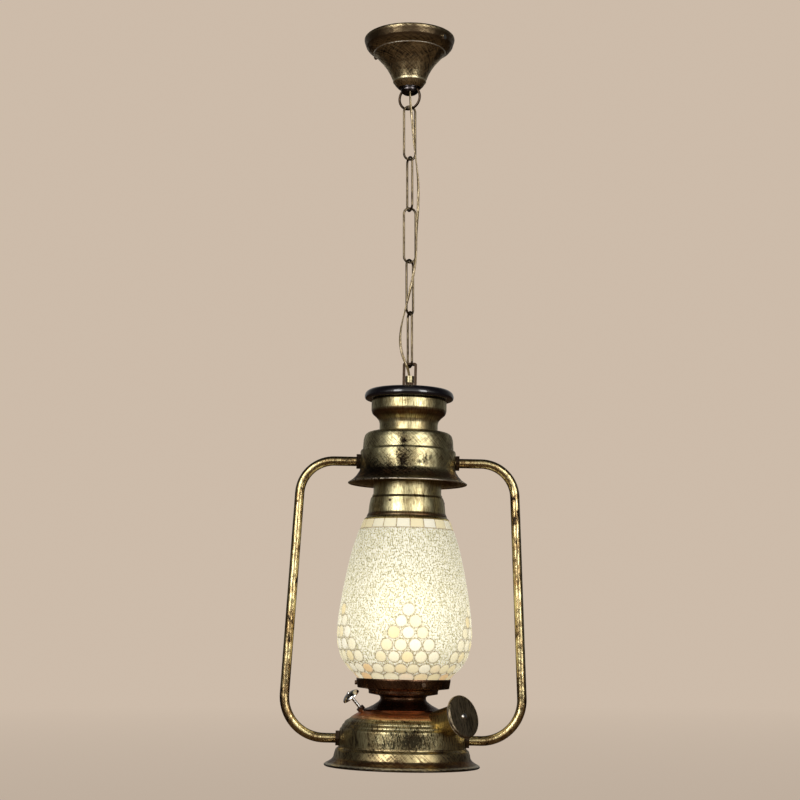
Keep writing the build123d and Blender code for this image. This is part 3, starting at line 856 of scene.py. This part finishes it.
def bead_lift(turns, line):
    """Small glass beads in rows over the outer face, each a little off its place, with its own tone and
    painted shading: bright on top, dark at the edge.
    """
    random = np.random.default_rng(11)
    run = outline_run(line)
    lift = np.zeros((len(turns), len(line)))
    shade = np.zeros_like(lift)
    for row in range(int(run[-1] / (BEAD_PITCH * BEAD_ROW_STEP))):
        level = (row + 0.5) * BEAD_PITCH * BEAD_ROW_STEP
        near = np.where(np.abs(run - level) < BEAD_PITCH * 0.75)[0]
        radius = line[int(np.searchsorted(run, level)), 0]
        count = int(2 * math.pi * radius / BEAD_PITCH)
        step = 360 / count
        start = row % 2 * 180 / count
        places = start + step * np.arange(count) + random.normal(0, 0.13, count) * 360 / count
        levels = level + random.normal(0, 0.11 * BEAD_PITCH, count)
        sizes = BEAD_PITCH * (0.46 + 0.14 * random.random(count))
        shades = random.random(count)
        which = np.round((turns - start) / step).astype(int)
        # Each point of the face can lie on its nearest bead or on one beside it.
        for shift in (-1, 0, 1):
            bead = (which + shift) % count
            around = ((turns - places[bead] + 180) % 360 - 180) * math.pi / 180 * radius
            off = np.hypot(around[:, None], run[near][None, :] - levels[bead][:, None])
            size = sizes[bead][:, None]
            dome = np.sqrt(np.clip(1 - (off / size) ** 2, 0, 1)) * size
            old = lift[:, near]
            # Each bead's own tone, times painted shading that is bright at the bead's top and falls to
            # dark at its edge.
            light = (0.45 + 0.55 * shades[bead][:, None]) * dome / size
            shade[:, near] = np.where(dome > old, light, shade[:, near])
            lift[:, near] = np.maximum(old, dome)
    return lift, shade


def turned_sheet(name, profile, angle):
    """A mesh from a closed profile of (radius, height), in millimetres, at each angle."""
    columns, count = profile.shape[:2]
    radius = profile[..., 0]
    points = np.stack(
        [radius * np.cos(angle)[:, None], radius * np.sin(angle)[:, None], profile[..., 1]], axis=2
    ).reshape(-1, 3)
    k = np.arange(columns)[:, None] * count
    on = (np.arange(columns)[:, None] + 1) % columns * count
    i = np.arange(count)[None, :]
    j = (i + 1) % count
    faces = np.stack([k + i, k + j, on + j, on + i], axis=2).reshape(-1, 4)
    mesh = bpy.data.meshes.new(name)
    mesh.vertices.add(len(points))
    mesh.vertices.foreach_set("co", (points * MM).astype(np.float32).ravel())
    mesh.loops.add(faces.size)
    mesh.loops.foreach_set("vertex_index", faces.ravel().astype(np.int32))
    mesh.polygons.add(len(faces))
    mesh.polygons.foreach_set("loop_start", (np.arange(len(faces)) * 4).astype(np.int32))
    mesh.update(calc_edges=True)
    mesh.validate()
    mesh.polygons.foreach_set("use_smooth", [True] * len(mesh.polygons))
    return mesh


def make_globe(material):
    line = smooth_outline(GLOBE_OUTLINE, GLOBE_ROWS)
    turns = 360 / GLOBE_COLUMNS * np.arange(GLOBE_COLUMNS)
    lift, tile, tint, grout, amber = globe_marks(turns, line)
    beads, bead_tone_and_painted_shade = bead_lift(turns, line)
    lift = lift + (1 - tile) * (1 - grout) * 0.55 * beads
    # The relief fades out where the metal holds the glass.
    fade = np.clip((line[:, 1] + 664.0) / 2.0, 0, 1) * np.clip((-504.8 - line[:, 1]) / 0.6, 0, 1)
    lift = lift * fade[None, :]
    outer = line[None, :, :] + lift[:, :, None] * outwards(line)[None, :, :]
    inner = smooth_outline(GLOBE_OUTLINE, GLOBE_INNER_ROWS)
    inner = inner - outwards(inner) * GLOBE_WALL
    inner = np.broadcast_to(inner[::-1], (GLOBE_COLUMNS, GLOBE_INNER_ROWS, 2))
    mesh = turned_sheet("globe_glass", np.concatenate([outer, inner], axis=1), np.radians(turns))
    pad = np.zeros((GLOBE_COLUMNS, GLOBE_INNER_ROWS))
    for name, values in (
        ("tile", tile), ("tint", tint), ("grout", grout), ("amber", amber), ("bead", bead_tone_and_painted_shade),
    ):
        marks = mesh.attributes.new(name, "FLOAT", "POINT")
        marks.data.foreach_set("value", np.concatenate([values, pad], 1).astype(np.float32).ravel())
    mesh.materials.append(material)
    piece = bpy.data.objects.new("globe_glass", mesh)
    bpy.context.scene.collection.objects.link(piece)
    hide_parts("globe")
    placed(piece, HANG, "lantern")


def globe_material():
    """Frosted glass beads and cream tiles in brown grout, glowing from the bulb inside."""
    s = Shader("globe_mosaic")
    grout = s.attribute("grout")
    speck = s.noise(s.coords(), 0.9, 3.0, 0.6)
    # Beads are bright on top and dark grey-green in the gaps between them: painted shading over each
    # bead's own tone.
    bead_colour = s.ramp(
        s.weigh(s.attribute("bead"), 0.7, speck, 0.3),
        [(0.22, (0.30, 0.27, 0.15)), (0.415, (0.70, 0.66, 0.43)), (0.555, (1.0, 0.97, 0.83))],
    )
    tile_colour = s.ramp(
        s.attribute("tint"),
        [(0.0, (0.93, 0.78, 0.44)), (0.4, (0.97, 0.90, 0.64)), (1.0, (1.0, 0.96, 0.82))],
    )
    amber = s.math("MULTIPLY", s.attribute("amber"), 0.85)
    tile_colour = s.mix(amber, tile_colour, (0.90, 0.48, 0.15))
    colour = s.mix(s.attribute("tile"), bead_colour, tile_colour)
    near_bulb = s.math("ABSOLUTE", s.math("SUBTRACT", s.height(), BULB_Z - 5))
    # The grout is painted lighter near the bulb's height: painted light from the bulb.
    grout_share = s.math("MULTIPLY", grout, s.range(near_bulb, 15.0, 60.0, 0.45, 0.75))
    colour = s.mix(grout_share, colour, (0.30, 0.19, 0.09))
    glow = s.range(near_bulb, 15.0, 95.0, 1.0, 0.55)
    s.link(colour, s.bsdf.inputs["Base Color"])
    s.bsdf.inputs["Roughness"].default_value = 0.42
    s.bsdf.inputs["IOR"].default_value = 1.45
    s.bsdf.inputs["Transmission Weight"].default_value = 0.35
    warm = s.mix(0.15, colour, (1.0, 0.95, 0.80))
    s.link(warm, s.bsdf.inputs["Emission Color"])
    dim = s.math("MULTIPLY", glow, s.range(grout, 0.0, 1.0, 1.0, 0.45))
    s.link(s.math("MULTIPLY", dim, 0.515), s.bsdf.inputs["Emission Strength"])
    s.link(s.bump(speck, 0.25, 0.5), s.bsdf.inputs["Normal"])
    return s.material


def bulb_material():
    """Opal bulb that is lit."""
    s = Shader("opal_bulb")
    level = s.range(s.height(), -650.0, -560.0)
    glow = s.ramp(level, [(0.0, (1.0, 0.80, 0.50)), (0.5, (1.0, 0.92, 0.74))])
    s.link(glow, s.bsdf.inputs["Emission Color"])
    s.bsdf.inputs["Base Color"].default_value = (0.9, 0.88, 0.82, 1)
    s.bsdf.inputs["Emission Strength"].default_value = 2.4
    return s.material


def make_tank():
    shell = [
        (25.0, -690.7), (36.0, -690.8), (39.4, -691.2), (44.9, -693.6), (50.0, -696.8),
        (53.0, -699.4), (54.8, -700.2), (56.8, -701.6), (57.4, -703.6), (59.1, -704.8),
        (59.8, -707.2), (61.3, -708.4), (61.8, -710.0), (61.8, -727.4),
    ]
    lathe("tank_shell", shell, 0.9, dome_brass, "lantern", "tank", 1.1, HANG, 224)


def make_filler():
    place = HANG @ along((0, 0, -716.9), -43, 17)
    face = [
        (0.4, 83.6), (18.9, 83.55), (20.2, 83.1), (20.7, 82.2), (20.7, 80.5), (20.2, 79.85),
        (12.55, 79.85), (12.55, 73.0), (0.4, 73.0),
    ]
    solid_lathe(
        "filler_lid", face, filler_metal, "filler_cap", "filler_cap", 0.6, place, 144
    )


KNOB_TURN = 198
KNOB_REACH = 41.0


def make_wick_knob():
    turn = math.radians(KNOB_TURN)
    foot = Vector((KNOB_REACH * math.cos(turn), KNOB_REACH * math.sin(turn), -691.6))
    place = HANG @ along(foot, KNOB_TURN, 48.8) @ Matrix.Translation((0, 0, 18.5))
    dish = [
        (0.4, 4.6), (3.4, 4.4), (6.4, 3.4), (8.6, 1.8), (9.3, 0.4), (9.3, -0.5), (8.4, -0.4),
        (5.8, 0.9), (3.2, 1.6), (2.9, 0.2), (0.4, 0.2),
    ]
    solid_lathe("wick_knob_dish", dish, chrome, "wick", "wick_knob", 0.7, place)


def make_bulb(material):
    glass = [
        (0.5, -556.0), (10.0, -557.6), (19.6, -562.6), (26.8, -571.4), (29.8, -583.0),
        (28.8, -595.0), (24.0, -608.6), (18.2, -622.0), (14.8, -634.0), (13.6, -645.4),
    ]
    outline = [Vector(p) for p in smooth_outline(glass, 60)]
    vertices, faces = revolve(wall_outline(outline, 0.8), 96)
    piece = make_object("bulb_envelope", vertices, faces, material, "bulb_glass", 60)
    placed(piece, HANG, "bulb")


make_flex(flex_material())
make_canopy()
make_top()
make_base()
make_skirt()
make_tank()
make_filler()
make_wick_knob()
make_globe(globe_material())
make_bulb(bulb_material())

paint(steel, "ceiling_strap", "hanger_pin", "terminal_screws", "nipple", "wick_clip")
paint(steel, "holder_plate", "holder_nipple", "holder_nuts", "bulb_cap")
paint(chrome, "canopy_screws", "filler_rivet", "wick_shaft", "wick_rivet")
paint(boss_metal, "hanger_boss")
paint(bronze, "chimney_nut", "hood_plate", "base_plate")
paint(chain_metal, "link_1", "link_2", "link_3", "link_4", "link_5")
paint(nut_metal, "ring", "stirrup", "stirrup_nut", "hood_nuts", "base_nuts")
paint(nut_metal, "collar_screws", "gallery_screws", "wick_gland")
paint(bushing_brass, "cord_bushing", "holder_contact")
paint(moulding, "terminal_block", "lampholder")
paint(lead_plastic, "inner_lead")
paint(tube_brass, "left_tube", "right_tube")
paint(filler_tube, "filler_neck")
paint(rubber, "filler_seal")


# ---- Studio, in metres ----
BACKDROP = (0.61, 0.50, 0.40)


def make_floor():
    """A pale floor that turns into the backdrop's own colour as it gets farther away."""
    size = 60.0
    height = -1.15
    mesh = bpy.data.meshes.new("floor")
    corners = [(-size, -size, height), (size, -size, height), (size, size, height), (-size, size, height)]
    mesh.from_pydata(corners, [], [(0, 1, 2, 3)])
    s = Shader("floor")
    place = s.split(s.place())
    squares = s.math("ADD", s.math("POWER", place["X"], 2.0), s.math("POWER", place["Y"], 2.0))
    far = s.range(s.math("SQRT", squares), 1.0, 12.0, 0.75, 1.0)
    s.bsdf.inputs["Base Color"].default_value = (0.62, 0.51, 0.40, 1)
    s.bsdf.inputs["Roughness"].default_value = 0.9
    glow = s.node("ShaderNodeEmission")
    glow.inputs["Color"].default_value = (*BACKDROP, 1)
    pale = s.mix_shaders(far, s.bsdf.outputs[0], glow.outputs[0])
    # The metal reflects a darker floor than the camera sees.
    dark = s.node("ShaderNodeBsdfDiffuse")
    dark.inputs["Color"].default_value = (0.16, 0.10, 0.06, 1)
    seen = s.mix_shaders(s.camera_ray(), dark.outputs[0], pale)
    s.link(seen, s.out.inputs["Surface"])
    mesh.materials.append(s.material)
    floor = bpy.data.objects.new("floor", mesh)
    bpy.context.scene.collection.objects.link(floor)


def make_world():
    """A plain backdrop, and a soft studio round the lantern: light in front, dark at the sides."""
    world = bpy.data.worlds.new("studio")
    bpy.context.scene.world = world
    world.use_nodes = True
    nodes = Nodes(world.node_tree)
    way = nodes.split(nodes.node("ShaderNodeTexCoord").outputs["Generated"])
    # From 0 behind the lantern, through 0.5 at its sides, to 1 in front of it.
    front = nodes.range(way["Y"], 1.0, -1.0)
    stops = [(0.0, 0.26), (0.25, 0.07), (0.5, 0.015), (0.66, 0.08), (0.86, 0.95)]
    light = nodes.ramp(front, [(at, (shade, 0.97 * shade, 0.92 * shade)) for at, shade in stops])
    studio = nodes.node("ShaderNodeBackground")
    nodes.link(light, studio.inputs["Color"])
    nodes.link(nodes.range(way["Z"], 0.35, 0.75, 1.0, 0.3), studio.inputs["Strength"])
    backdrop = nodes.node("ShaderNodeBackground")
    backdrop.inputs["Color"].default_value = (*BACKDROP, 1)
    seen = nodes.mix_shaders(nodes.camera_ray(), studio.outputs[0], backdrop.outputs[0])
    out = nodes.node("ShaderNodeOutputWorld")
    nodes.link(seen, out.inputs["Surface"])


def area_light(name, place, target, width, height, power):
    data = bpy.data.lights.new(name, "AREA")
    data.shape = "RECTANGLE"
    data.size = width
    data.size_y = height
    data.energy = power
    light = bpy.data.objects.new(name, data)
    bpy.context.scene.collection.objects.link(light)
    light.location = place
    light.rotation_euler = (Vector(target) - Vector(place)).to_track_quat("-Z", "Y").to_euler()


make_floor()
make_world()
area_light("softbox_left", (-1.3, -2.2, 0.3), (0, 0, -0.45), 0.9, 1.8, 27)
area_light("softbox_right", (1.5, -2.0, 0.2), (0, 0, -0.45), 0.8, 1.8, 22)

bpy.context.scene.view_settings.view_transform = "Standard"
